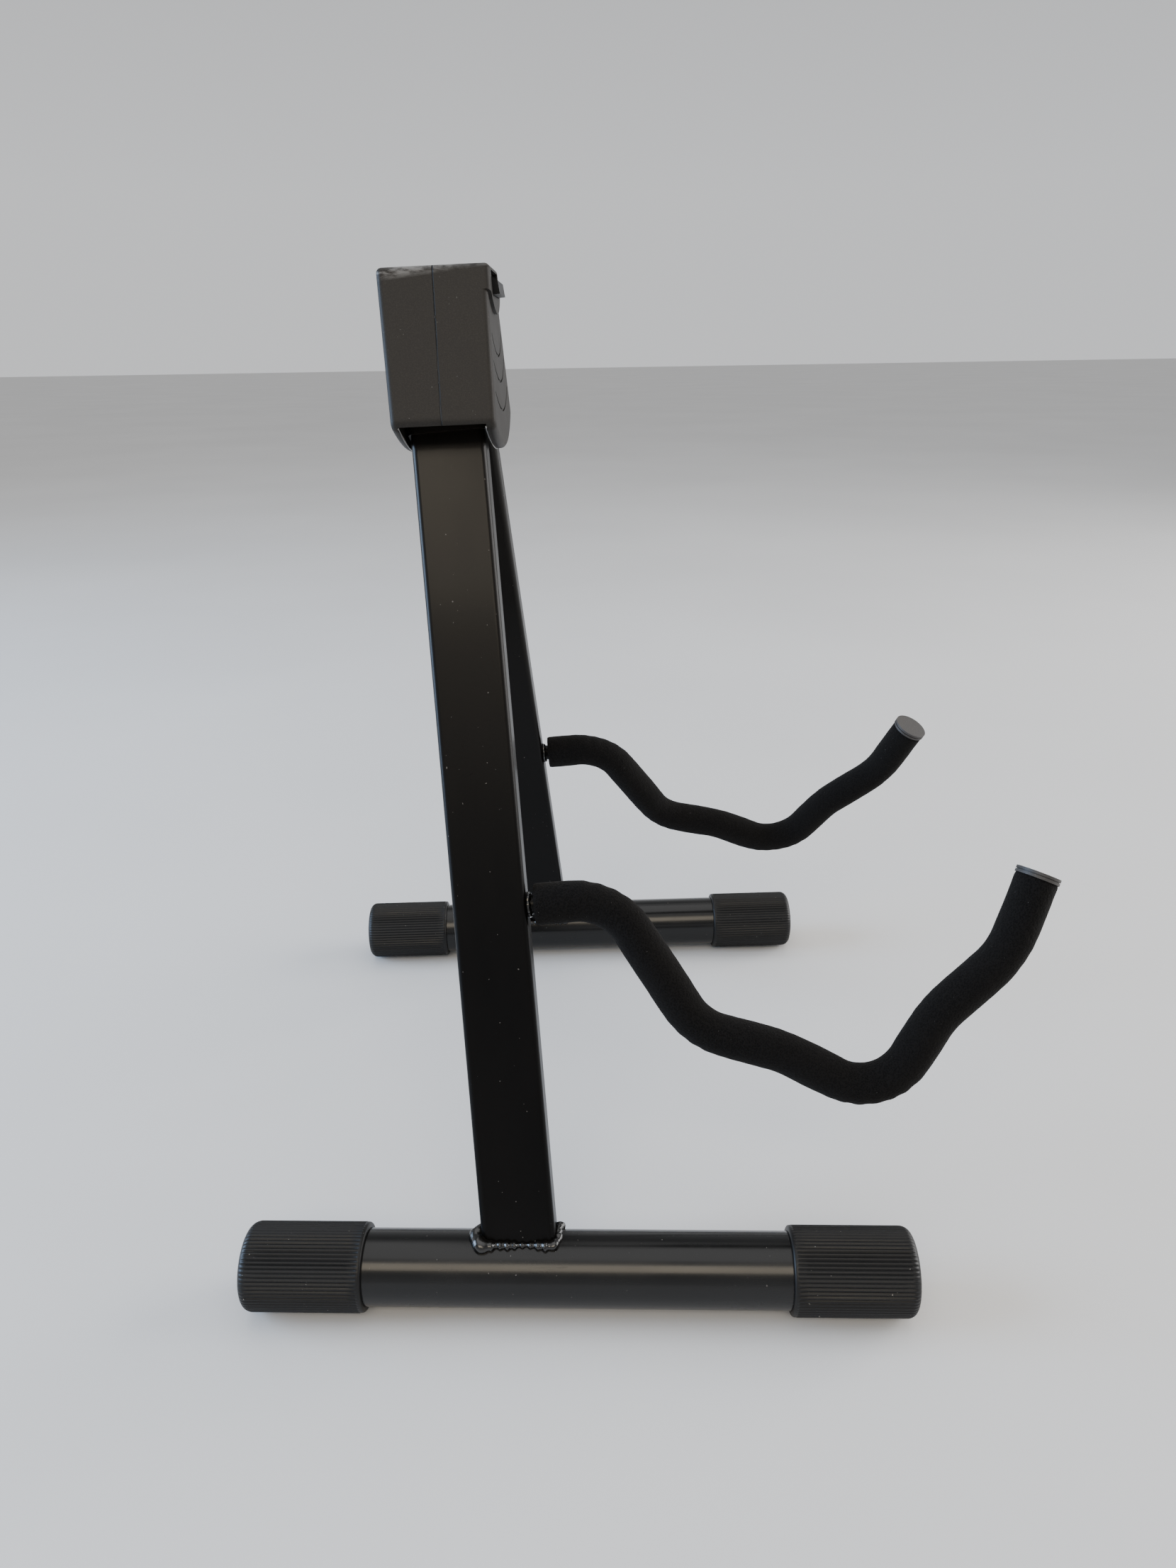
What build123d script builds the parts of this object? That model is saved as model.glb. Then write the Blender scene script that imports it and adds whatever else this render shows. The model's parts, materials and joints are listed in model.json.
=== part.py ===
from build123d import *
import os
from math import atan, cos, degrees, radians, sin, tan

# Folding A-frame guitar stand, millimetres, +Z up.
# Two flat welded legs (leg tube, foot tube and padded arm in one plane) hinge in a moulded head.
# +X is the stand's right side, the arms point to -Y, and the whole frame leans back towards +Y.

# ---- stance ----
lean = 4.4              # legs lean back from the vertical
splay = 20.9            # each leg opens out from the middle when the stand is up
foot_spacing = 287.5    # between the two foot tubes' axes, under the legs
pivot_half_gap = 18.0   # each hinge pin from the middle of the head

# ---- legs and feet ----
leg_width, leg_thickness, leg_wall, leg_corner = 30.0, 15.0, 1.2, 2.5
leg_above_pivot = 30.0
collar_wall, collar_below, collar_above = 1.0, 11.6, 9.0    # plastic sleeve round the leg at the pivot
foot_tube_d, foot_tube_wall = 30.0, 1.2
foot_length, foot_forward = 272.0, 22.4   # over the rubber caps; centre ahead of the leg
foot_cap_d, foot_cap_length, foot_cap_end = 35.0, 50.0, 3.0
foot_cap_round, foot_cap_lip = 4.0, 0.9
slip = 0.05             # radial clearance of pushed-on and turning fits
weld_spread, weld_height = 2.5, 2.2

# ---- padded arms, as (forward, up the leg) in the leg's plane ----
rod_d, foam_d = 8.0, 17.2
arm_root_height = 148.5
arm_gap = 3.0           # bare rod between leg and foam
arm_corners = [(49, 148.5), (79.5, 92.6), (113, 80.6), (151.4, 57.4), (177, 90.8), (206, 112.6)]
arm_radii = [27.0, 28.0, 55.0, 23.5, 45.0, 38.0]
arm_tip = (220.5, 142)
tip_disc_d, tip_disc_thickness, tip_disc_groove = 17.8, 2.6, 0.4

# ---- head, heights measured from the hinge pins, at the leg axis ----
head_top, head_wall_end, head_lobe_end = 52.8, -5.1, -17.4
head_level = 2.7        # top and bottom edges rise towards the back, so they sit nearly level
head_top_half, head_flare = 21.0, 23.0    # half width at the top, slope of the side walls
head_back, head_back_tilt = 19.6, 0.9     # behind the leg axis at the wall's end, and its slope
head_front, head_front_tilt = 21.3, 1.2   # the same ahead of the leg axis
shell_wall, shell_round, top_round = 2.5, 2.2, 2.6
lobe_back_corner, lobe_front_corner, lobe_round = -5.2, -6.0, 4.0    # where each lobe leaves the side
lobe_back, lobe_front = 16.9, 17.3     # inner faces of the lobes, behind and ahead of the leg axis
seam_forward, seam_tilt, seam_gap = 0.4, 1.4, 0.12    # at the pins, and leaning forward above
raised_cap = 1.3
cap_edge_side, cap_edge_middle = 46.0, 33.8
groove_width, groove_depth, groove_sag = 0.9, 0.5, 8.4
grooves = [(24.0, 26.4), (28.0, 16.4), (32.5, 5.1)]     # half width, height of the ends
pin_d, pin_boss_r, pin_skin = 8.0, 7.0, 1.0
pin_play = 0.3
leg_side_gap = 0.4      # leg collar to the bosses round the pins
screw_places = [(-19.8, 39.5), (19.8, 39.5), (-30.5, 17.7), (30.5, 17.7)]
screw_d, screw_head_d, screw_head_h, screw_length, screw_boss_r = 3.0, 5.6, 1.8, 26.0, 3.3
screw_cross, screw_cross_width, screw_cross_depth = 3.4, 0.8, 1.0
screw_slip, screw_sunk = 0.15, 0.4

# ---- latch, a sprung slider with a thumb tab ----
latch_travel = 2.0
tab_half, tab_bottom, tab_top, tab_reach, tab_slope = 15.5, 40.5, 47.2, 2.6, 1.7
plate_half, plate_bottom, plate_top, plate_back, plate_front = 16.2, 33.0, 46.0, 16.0, 19.0
hook_inner, hook_outer, hook_end, hook_root = 12.5, 15.5, 31.7, 36.5
shelf_half, shelf_back, shelf_low, shelf_high = 6.0, 3.0, 35.0, 38.0
spring_forward, spring_r, spring_wire_r, spring_pitch = 8.5, 2.9, 0.4, 2.0
slot_gap = 0.3

# ---- worked out from the above ----
leg_to_pivot = (foot_spacing / 2 - pivot_half_gap) / sin(radians(splay))
pivot_height = leg_to_pivot * cos(radians(splay))
foot_tilt = degrees(atan(tan(radians(lean)) / cos(radians(splay))))   # keeps the feet level
axle_height = foot_cap_d / 2
big = 400.0


def front_face(height):
    """Distance of the head's front face ahead of the leg axis, at a height over the pins."""
    return head_front + (height - head_wall_end) * tan(radians(head_front_tilt))


def back_face(height):
    """Distance of the head's back face behind the leg axis, at a height over the pins."""
    return head_back + (height - head_wall_end) * tan(radians(head_back_tilt))


def half_width(height):
    """Half width of the head, outside, at a height over the pins."""
    return head_top_half + (head_top - height) * tan(radians(head_flare))


def between(x, y, z):
    """A box from pairs of low and high values along each axis."""
    size = [high - low for low, high in (x, y, z)]
    middle = [(low + high) / 2 for low, high in (x, y, z)]
    return Pos(*middle) * Box(*size)


def rod_along_y(radius, back, front, x=0.0, z=0.0):
    """A cylinder along Y; back and front are distances behind and ahead of the leg axis."""
    length = front + back
    return Pos(x, (back - front) / 2, z) * Rot(90, 0, 0) * Cylinder(radius, length)


# ---------------------------------------------------------------- head
def levelled(shape):
    """Tips a shape up at the back, as the head's top and bottom edges are."""
    return Rot(head_level, 0, 0) * shape


def side_prism(extra_back, extra_front, low, high):
    """The head's depth between its back and front faces, thicker by the extras."""
    profile = Polygon(
        (back_face(low) + extra_back, low), (back_face(high) + extra_back, high),
        (-front_face(high) - extra_front, high), (-front_face(low) - extra_front, low),
        align=None,
    )
    return extrude(Plane.YZ * profile, amount=big / 4, both=True)


def front_view(corner_height):
    """The head's outline seen from the front; its round lobe leaves the sides at a height."""
    corner = half_width(corner_height)
    top = Line((-head_top_half, head_top), (head_top_half, head_top))
    right = Line((head_top_half, head_top), (corner, corner_height))
    lobe = ThreePointArc((corner, corner_height), (0, head_lobe_end), (-corner, corner_height))
    left = Line((-corner, corner_height), (-head_top_half, head_top))
    face = make_face([top, right, lobe, left])
    low_corners = face.vertices().filter_by(lambda v: abs(v.Y - corner_height) < 0.1)
    face = fillet(low_corners, lobe_round)
    top_corners = face.vertices().filter_by(lambda v: v.Y > head_top - 0.1)
    return fillet(top_corners, top_round)


def head_block(extra):
    """The head as a full block with rounded edges; extra thickens it at the front."""
    block = Part()
    for end, corner_height in ((1, lobe_front_corner), (-1, lobe_back_corner)):
        outline = levelled(extrude(Plane.XZ * front_view(corner_height), amount=end * big / 8))
        half = outline & side_prism(0, extra, -big / 8, big / 4)
        rim = half.edges().filter_by(
            lambda edge: abs(edge.center().Y) > head_back / 2 and abs(edge.tangent_at(0.5).Y) < 0.5
        )
        block += fillet(rim, shell_round)
    return block


def upper_region():
    """Everything above the U-shaped lower edge of the raised cap."""
    reach = half_width(cap_edge_middle)
    edge = ThreePointArc((-reach, cap_edge_side), (0, cap_edge_middle), (reach, cap_edge_side))
    walls = Polyline((reach, cap_edge_side), (reach, big / 4), (-reach, big / 4), (-reach, cap_edge_side))
    return extrude(Plane.XZ * make_face([edge, walls]), amount=big / 8, both=True)


def head_cavity():
    """The hollow inside the two shells, open at the bottom."""
    inset = shell_wall / cos(radians(head_flare))
    ceiling, floor = head_top - shell_wall, -big / 8
    profile = Polygon(
        (-half_width(ceiling) + inset, ceiling), (half_width(ceiling) - inset, ceiling),
        (half_width(floor) - inset, floor), (-half_width(floor) + inset, floor),
        align=None,
    )
    depth = side_prism(-shell_wall, -shell_wall, floor, big / 4)
    hollow = levelled(extrude(Plane.XZ * profile, amount=big / 8, both=True))
    under_walls = levelled(between((-big, big), (-big, big), (floor, head_wall_end)))
    above_walls = levelled(between((-big, big), (-big, big), (head_wall_end, big)))
    lobes = between((-big, big), (-lobe_front, lobe_back), (-big, big))
    return (hollow & depth & above_walls) + ((under_walls + wall_edge_rounding()) & lobes)


def wall_edge_rounding():
    """Rounds the outside of the side walls' bottom edges."""
    corner = Pos(-shell_round / 2, 0, shell_round / 2) * Box(shell_round, big / 4, shell_round)
    corner -= Pos(-shell_round, 0, shell_round) * Rot(90, 0, 0) * Cylinder(shell_round, big / 4)
    right = Pos(half_width(head_wall_end), 0, head_wall_end) * Rot(0, -head_flare, 0) * corner
    return levelled(right + mirror(right, about=Plane.YZ))


def smile_groove(half, ends):
    """One curved groove cut into the sloping front face."""
    normal = (0, -cos(radians(head_front_tilt)), -sin(radians(head_front_tilt)))
    face = Plane(origin=(0, -front_face(0), 0), x_dir=(1, 0, 0), z_dir=normal)
    curve = ThreePointArc((-half, ends), (0, ends - groove_sag), (half, ends))
    strip = trace(curve, line_width=groove_width)
    return extrude(face * strip, amount=groove_depth, both=True)


def head_solid():
    """Both shells in one, with bosses, pin seats, screw holes, tab slot and grooves."""
    head = head_block(0) + (head_block(raised_cap) & upper_region())
    bosses = Part()
    for x, z in screw_places:
        bosses += rod_along_y(screw_boss_r, back_face(z) - 1, front_face(z) - 1, x, z)
    for side in (-1, 1):
        x = side * pivot_half_gap
        reach = leg_width / 2 + collar_wall + leg_side_gap
        bosses += rod_along_y(pin_boss_r, back_face(0) - 1, -reach, x)
        bosses += rod_along_y(pin_boss_r, -reach, front_face(0) - 1, x)
    shell = (head - head_cavity()) + (bosses & head)
    for side in (-1, 1):
        x = side * pivot_half_gap
        shell -= rod_along_y(pin_d / 2 + slip, back_face(0) - pin_skin, front_face(0) - pin_skin, x)
    for x, z in screw_places:
        seat = back_face(z) - screw_sunk
        shell -= rod_along_y(screw_head_d / 2 + screw_slip, seat + 2, screw_head_h - seat, x, z)
        shell -= rod_along_y(screw_d / 2 + slip, seat, screw_length + 1 - seat, x, z)
    slot_top = tab_top + latch_travel + slot_gap
    shell -= between(
        (-tab_half - slot_gap, tab_half + slot_gap), (-big, -(plate_front + 0.2)),
        (tab_bottom - slot_gap, slot_top),
    )
    for half, ends in grooves:
        shell -= smile_groove(half, ends)
    return shell


def head_shells():
    """The front and back halves, parted on the seam."""
    shell = head_solid()
    seam = Pos(0, -seam_forward, 0) * Rot(seam_tilt, 0, 0)
    front = shell & (seam * between((-big, big), (-big, -seam_gap / 2), (-big, big)))
    back = shell & (seam * between((-big, big), (seam_gap / 2, big), (-big, big)))
    return front, back


def pivot_pin(side):
    """Steel pin held between the shells, on which one leg turns."""
    shorter = pin_skin + pin_play
    return rod_along_y(pin_d / 2, back_face(0) - shorter, front_face(0) - shorter, side * pivot_half_gap)


def shell_screws():
    """Self-tapping screws that close the shells from behind."""
    screws = Part()
    for x, z in screw_places:
        seat = back_face(z) - screw_sunk
        head = rod_along_y(screw_head_d / 2, seat, screw_head_h - seat, x, z)
        shank = rod_along_y(screw_d / 2, seat, screw_length - seat, x, z)
        across, thin = screw_cross / 2, screw_cross_width / 2
        depth = (seat - screw_cross_depth, seat + 1)
        cross = between((x - across, x + across), depth, (z - thin, z + thin))
        cross += between((x - thin, x + thin), depth, (z - across, z + across))
        screws += (head + shank) - cross
    return screws


def latch():
    """Slider behind the front face: thumb tab, guide plate, spring shelf and two hooks."""
    cap_face = front_face(tab_top) + raised_cap
    tab_profile = Polygon(
        (-plate_back, tab_bottom), (-cap_face - tab_reach, tab_bottom),
        (-cap_face - tab_reach + 0.4, tab_top - tab_slope), (-cap_face, tab_top),
        (-plate_back, plate_top), align=None,
    )
    tab = extrude(Plane.YZ * tab_profile, amount=tab_half, both=True)
    plate = between((-plate_half, plate_half), (-plate_front, -plate_back), (plate_bottom, plate_top))
    shelf = between((-shelf_half, shelf_half), (-plate_back, -shelf_back), (shelf_low, shelf_high))
    body = tab + plate + shelf
    for side in (-1, 1):
        x_range = sorted((side * hook_inner, side * hook_outer))
        body += between(x_range, (-plate_front, -shelf_back), (hook_end, hook_root))
    return body


def latch_spring():
    """Compression spring between the latch's shelf and the top of the head."""
    low = shelf_high + spring_wire_r + 0.1
    ceiling = head_top - shell_wall - spring_forward * tan(radians(head_level))
    high = ceiling - 2 * spring_wire_r - 0.1
    path = Pos(0, -spring_forward, low) * Helix(spring_pitch, high - low, spring_r)
    wire = Plane(origin=path @ 0, z_dir=path % 0) * Circle(spring_wire_r)
    return sweep(wire, path=path)


# ---------------------------------------------------------------- legs
def leg_section(shrink=0.0):
    """The leg tube's rounded rectangle, thickness along X and width along Y."""
    corner = max(leg_corner - shrink, 0.5)
    return RectangleRounded(leg_thickness - 2 * shrink, leg_width - 2 * shrink, corner)


def foot_frame():
    """Level foot axis as seen in the leg's own frame."""
    return Rot(foot_tilt, 0, 0)


def foot_bar(radius, back, front):
    """A cylinder on the foot axis, by distances behind and ahead of the leg axis."""
    return foot_frame() * rod_along_y(radius, back, front)


def leg_tube():
    """Rectangular tube, saddle cut to the foot tube and drilled for the hinge pin."""
    length = leg_to_pivot + leg_above_pivot
    tube = extrude(leg_section() - leg_section(leg_wall), amount=length)
    tube -= foot_bar(foot_tube_d / 2, big, big)
    return tube - rod_along_y(pin_d / 2 + slip, big, big, z=leg_to_pivot)


def pivot_bush():
    """Sleeve inside the leg tube that carries the hinge pin."""
    half = leg_width / 2 - leg_wall
    bush = rod_along_y(leg_thickness / 2 - leg_corner, half, half, z=leg_to_pivot)
    return bush - rod_along_y(pin_d / 2 + slip, big, big, z=leg_to_pivot)


def pivot_collar():
    """Plastic sleeve on the outside of the leg tube, between it and the shells."""
    sleeve = extrude(leg_section(-collar_wall) - leg_section(-slip), amount=collar_below + collar_above)
    sleeve = Pos(0, 0, leg_to_pivot - collar_below) * sleeve
    return sleeve - rod_along_y(pin_d / 2 + slip, big, big, z=leg_to_pivot)


def foot_tube():
    """Round tube across the leg's foot."""
    reach = foot_length / 2 - foot_cap_end
    outside = foot_bar(foot_tube_d / 2, reach - foot_forward, reach + foot_forward)
    return outside - foot_bar(foot_tube_d / 2 - foot_tube_wall, big, big)


def foot_cap(end):
    """Rubber cap pushed on the foot tube; end is 1 in front and -1 behind."""
    outside = Cylinder(foot_cap_d / 2, foot_cap_length)
    outside = fillet(outside.edges().sort_by(Axis.Z)[-1], foot_cap_round)
    outside = chamfer(outside.edges().sort_by(Axis.Z)[0], foot_cap_lip)
    bore = Pos(0, 0, -foot_cap_end) * Cylinder(foot_tube_d / 2 + slip, foot_cap_length)
    cap = Pos(0, 0, foot_length / 2 - foot_cap_length / 2) * (outside - bore)
    return foot_frame() * Pos(0, -foot_forward, 0) * Rot(end * 90, 0, 0) * cap


def foot_weld():
    """Bead round the leg where it meets the foot tube."""
    spread = 2 * weld_spread
    block = RectangleRounded(leg_thickness + spread, leg_width + spread, leg_corner + weld_spread)
    bead = extrude(block, amount=foot_tube_d)
    bead &= foot_bar(foot_tube_d / 2 + weld_height, big, big)
    bead -= foot_bar(foot_tube_d / 2, big, big)
    return bead - extrude(leg_section(), amount=big)


def arm_path(start):
    """Centre line of the arm in the leg's plane: straight runs joined by arcs."""
    corners = [(start, arm_root_height)] + arm_corners + [arm_tip]
    points = [(0, -forward, up) for forward, up in corners]
    return FilletPolyline(*points, radius=arm_radii)


def arm_sweep(radius, start):
    """A round bar along the arm."""
    path = arm_path(start)
    return sweep(Plane(origin=path @ 0, z_dir=path % 0) * Circle(radius), path=path)


def arm_rod():
    """Bent steel rod, welded to the leg's front face."""
    return arm_sweep(rod_d / 2, leg_width / 2)


def foam_sleeve():
    """Foam tube over the rod."""
    start = leg_width / 2 + arm_gap
    return arm_sweep(foam_d / 2, start) - arm_sweep(rod_d / 2 + slip, start)


def arm_end_cap():
    """Thin disc on the arm's tip, with a fine groove round its rim."""
    path = arm_path(leg_width / 2)
    third = (tip_disc_thickness - tip_disc_groove) / 2
    disc = Pos(0, 0, tip_disc_thickness / 2) * Cylinder(tip_disc_d / 2, tip_disc_thickness)
    ring = Cylinder(tip_disc_d, tip_disc_groove) - Cylinder(tip_disc_d / 2 - 0.5, tip_disc_groove)
    disc -= Pos(0, 0, third + tip_disc_groove / 2) * ring
    return Plane(origin=path @ 1, z_dir=path % 1) * disc


def arm_weld():
    """Small bead round the rod at the leg."""
    low_r, high_r, height = rod_d / 2 + 2.2, rod_d / 2 + 0.9, 2.4
    bead = Pos(0, 0, height / 2) * Cone(low_r, high_r, height) - Cylinder(rod_d / 2, big)
    return Pos(0, -leg_width / 2, arm_root_height) * Rot(90, 0, 0) * bead


# ---------------------------------------------------------------- assembly
def stand_parts():
    """Every node's shape at rest, in a frame whose origin is between the legs' feet."""
    leaned = Pos(0, 0, axle_height) * Rot(-lean, 0, 0)
    at_head = leaned * Pos(0, 0, pivot_height)
    front, back = head_shells()
    parts = {
        "front_shell": at_head * front,
        "back_shell": at_head * back,
        "shell_screws": at_head * shell_screws(),
        "latch": at_head * latch(),
        "latch_spring": at_head * latch_spring(),
    }
    leg_pieces = {
        "leg_tube": leg_tube(), "pivot_bush": pivot_bush(), "pivot_collar": pivot_collar(),
        "foot_tube": foot_tube(), "foot_weld": foot_weld(), "front_foot_cap": foot_cap(1),
        "back_foot_cap": foot_cap(-1), "arm_rod": arm_rod(), "arm_weld": arm_weld(),
        "foam_sleeve": foam_sleeve(), "arm_end_cap": arm_end_cap(),
    }
    for name, side in (("left", -1), ("right", 1)):
        at_leg = leaned * Pos(side * foot_spacing / 2, 0, 0) * Rot(0, -side * splay, 0)
        parts[name + "_pivot_pin"] = at_head * pivot_pin(side)
        for piece, shape in leg_pieces.items():
            parts[name + "_" + piece] = at_leg * shape
    return parts


def write_parts():
    """Centres the stand on its footprint box, writes each node and prints the key places."""
    os.makedirs("parts", exist_ok=True)
    parts = stand_parts()
    box = Compound(children=[Compound(shape.solids()) for shape in parts.values()]).bounding_box()
    shift = -(box.min.Y + box.max.Y) / 2
    for name, shape in parts.items():
        export_step(Pos(0, shift, 0) * shape, "parts/" + name + ".step")
    up = Vector(0, sin(radians(lean)), cos(radians(lean)))
    pivot = up * pivot_height + Vector(0, shift, axle_height)
    print("size", box.size, "shift", round(shift, 3), "lowest", round(box.min.Z, 4))
    print("pins at x +-", pivot_half_gap, "y", round(pivot.Y, 3), "z", round(pivot.Z, 3))
    print("hinge axis", (0, round(-cos(radians(lean)), 6), round(sin(radians(lean)), 6)))
    print("latch axis", tuple(round(value, 6) for value in up))


write_parts()
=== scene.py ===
import json
import math
import random

import bmesh
import bpy
from mathutils import Matrix, Vector, noise


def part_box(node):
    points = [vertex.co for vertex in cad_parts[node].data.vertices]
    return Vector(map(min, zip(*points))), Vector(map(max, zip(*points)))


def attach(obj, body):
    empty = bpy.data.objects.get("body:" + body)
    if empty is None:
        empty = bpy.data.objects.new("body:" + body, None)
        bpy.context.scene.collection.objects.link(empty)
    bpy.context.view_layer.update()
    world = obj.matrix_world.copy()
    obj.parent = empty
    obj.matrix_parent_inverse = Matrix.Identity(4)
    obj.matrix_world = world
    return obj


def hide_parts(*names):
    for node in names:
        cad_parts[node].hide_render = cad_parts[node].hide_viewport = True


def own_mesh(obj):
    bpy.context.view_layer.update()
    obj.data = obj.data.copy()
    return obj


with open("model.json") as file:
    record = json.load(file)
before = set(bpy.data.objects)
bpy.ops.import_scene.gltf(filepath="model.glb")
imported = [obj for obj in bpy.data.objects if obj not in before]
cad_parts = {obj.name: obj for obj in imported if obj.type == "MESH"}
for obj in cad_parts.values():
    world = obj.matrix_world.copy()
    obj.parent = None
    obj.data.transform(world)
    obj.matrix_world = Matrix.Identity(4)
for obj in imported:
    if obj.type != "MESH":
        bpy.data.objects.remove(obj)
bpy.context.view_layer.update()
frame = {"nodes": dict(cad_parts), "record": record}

# Metres, in the row frame: +Z up, the arms point to -Y, +X is the stand's right side.
# ---- the CAD model's own sizes, as in part.py ----
lean, splay = math.radians(4.4), math.radians(20.9)
foot_spacing, pivot_half_gap, axle_height = 0.2875, 0.018, 0.0175
leg_width, leg_thickness, leg_corner = 0.030, 0.015, 0.0025
foot_tube_d, foot_cap_d, foot_cap_length = 0.030, 0.035, 0.050
foot_length, foot_forward = 0.272, 0.0224
rod_d, foam_d = 0.008, 0.0172
arm_gap, arm_root_height = 0.003, 0.1485
arm_corners = [
    (0.049, 0.1485), (0.0795, 0.0926), (0.113, 0.0806), (0.1514, 0.0574), (0.177, 0.0908), (0.206, 0.1126),
]
arm_radii = [0.027, 0.028, 0.055, 0.0235, 0.045, 0.038]
arm_tip = (0.2205, 0.142)
head_top, head_level, head_flare = 0.0528, math.radians(2.7), math.radians(23)
head_top_half, head_wall_end, head_lobe_end = 0.021, -0.0051, -0.0174
seam_forward, seam_tilt = 0.0004, math.radians(1.4)
lobe_back, lobe_front = 0.0169, 0.0173
lobe_back_corner, lobe_front_corner = -0.0052, -0.0060
# ---- the trim added here ----
rim_inward = 0.00012

leg_to_pivot = (foot_spacing / 2 - pivot_half_gap) / math.sin(splay)
foot_tilt = math.atan(math.tan(lean) / math.cos(splay))
hinge = Vector(frame["record"]["behaviour"]["joints"][0]["pos_m"])
head_frame = Matrix.Translation((0, hinge.y, hinge.z)) @ Matrix.Rotation(-lean, 4, "X")


def leg_frame(side):
    """A leg's own frame: origin on the foot axis under the leg, z up the leg, -y ahead."""
    out = Matrix.Translation((side * foot_spacing / 2, 0, -leg_to_pivot * math.cos(splay)))
    return head_frame @ out @ Matrix.Rotation(-side * splay, 4, "Y")


# ---------------------------------------------------------------- meshes
def new_object(name, bm, matrix, body, material, smooth_angle):
    """A piece from a mesh drawn in a part's own frame, riding on a body."""
    mesh = bpy.data.meshes.new(name)
    bmesh.ops.recalc_face_normals(bm, faces=bm.faces)
    bm.to_mesh(mesh)
    bm.free()
    mesh.transform(matrix)
    obj = bpy.data.objects.new(name, mesh)
    bpy.context.scene.collection.objects.link(obj)
    mesh.materials.append(material)
    mesh.shade_smooth()
    mesh.set_sharp_from_angle(angle=math.radians(smooth_angle))
    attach(obj, body)
    return obj


def skin_rings(bm, rings, closed_ends=True, round_again=False):
    """Joins rings of points, each a closed loop with the same count, into a skin."""
    loops = [[bm.verts.new(p) for p in ring] for ring in rings]
    after = loops[1:] + loops[:1] if round_again else loops[1:]
    for low, high in zip(loops, after):
        for i in range(len(low)):
            j = (i + 1) % len(low)
            bm.faces.new((low[i], low[j], high[j], high[i]))
    if closed_ends and not round_again:
        bm.faces.new(list(reversed(loops[0])))
        bm.faces.new(loops[-1])
    return loops


def circle(count):
    """Cosine and sine of count even steps round a circle."""
    return [(math.cos(2 * math.pi * k / count), math.sin(2 * math.pi * k / count)) for k in range(count)]


def rings_along(points, level, size):
    """Rings of eight points round a line, with size(point) as the radius; level is never along the line."""
    rings = []
    for i, p in enumerate(points):
        t = (points[min(i + 1, len(points) - 1)] - points[max(i - 1, 0)]).normalized()
        side = t.cross(level).normalized()
        other = t.cross(side).normalized()
        r = size(p)
        rings.append([p + (side * c + other * s) * r for c, s in circle(8)])
    return rings


def rounded_line(points, radii, step):
    """Points along straight runs joined by arcs, about a step apart."""
    points = [Vector(p) for p in points]
    out = [points[0]]
    for before, corner, after, radius in zip(points, points[1:], points[2:], radii):
        a, b = (before - corner).normalized(), (after - corner).normalized()
        half = a.angle(b) / 2
        back = radius / math.tan(half)
        centre = corner + (a + b).normalized() * radius / math.sin(half)
        u, v = corner + a * back - centre, corner + b * back - centre
        turn = math.pi - 2 * half
        n = max(3, math.ceil(radius * turn / step))
        for i in range(n + 1):
            there = turn * i / n
            out.append(centre + (u * math.sin(turn - there) + v * math.sin(there)) / math.sin(turn))
    out.append(points[-1])
    dense = [out[0]]
    for p in out[1:]:
        gap = (p - dense[-1]).length
        if gap < 1e-6:
            continue
        parts = math.ceil(gap / step)
        for i in range(1, parts):
            dense.append(dense[-1].lerp(p, 1 / (parts - i + 1)))
        dense.append(p)
    return dense


def arm_line(start, step):
    """The arm's centre line in the leg's frame, from a distance ahead of the leg's middle."""
    corners = [(start, arm_root_height)] + arm_corners + [arm_tip]
    return rounded_line([(0, -forward, up) for forward, up in corners], arm_radii, step)


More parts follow.
